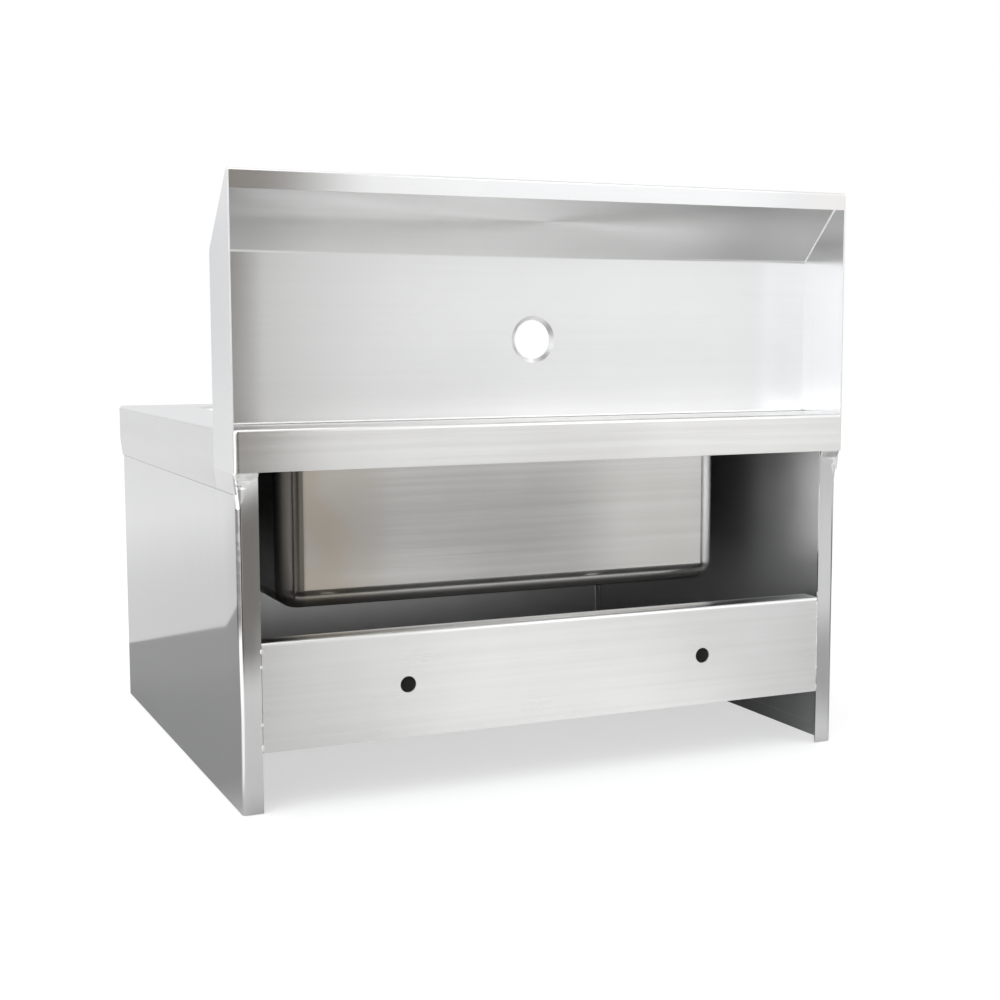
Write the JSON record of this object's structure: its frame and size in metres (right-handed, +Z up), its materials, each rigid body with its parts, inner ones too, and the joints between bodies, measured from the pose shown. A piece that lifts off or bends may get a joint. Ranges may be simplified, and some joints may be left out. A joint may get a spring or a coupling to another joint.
{
  "type": "wall-hung hand basin",
  "caption": "Wall-hung hand basin folded from brushed stainless sheet, with a pressed bowl, sloped splashback with tap hole, side and front panels, rear fixing rail and flanged waste outlet",
  "frame": {"origin": "Centre of the bounding box at its bottom: on the standing plane of the side and front panels, midway between the sides and between the front edge and the wall plane.", "axes": "+X runs along the width to the right of someone standing at the basin, -Y is the front where that person stands, +Y is the wall, +Z is up."},
  "size_m": [0.5, 0.42, 0.4449],
  "materials": {
    "brushed_sheet": "fine brushed stainless sheet, 1.2 mm",
    "bowl_sheet": "satin drawn stainless sheet, 1.2 mm",
    "waste_metal": "polished waste outlet",
    "washer_rubber": "black sealing washer",
    "backnut_brass": "turned brass backnut"
  },
  "bodies": {
    "root": {"deck_top": "brushed_sheet", "bowl": "bowl_sheet", "splash_panel": "brushed_sheet", "splash_end_left": "brushed_sheet", "splash_end_right": "brushed_sheet", "rear_ledge": "brushed_sheet", "side_panel_left": "brushed_sheet", "side_panel_right": "brushed_sheet", "front_apron": "brushed_sheet", "rear_mounting_rail": "brushed_sheet", "waste_body": "waste_metal", "waste_top_washer": "washer_rubber", "waste_bottom_washer": "washer_rubber", "waste_backnut": "backnut_brass"}
  },
  "joints": []
}
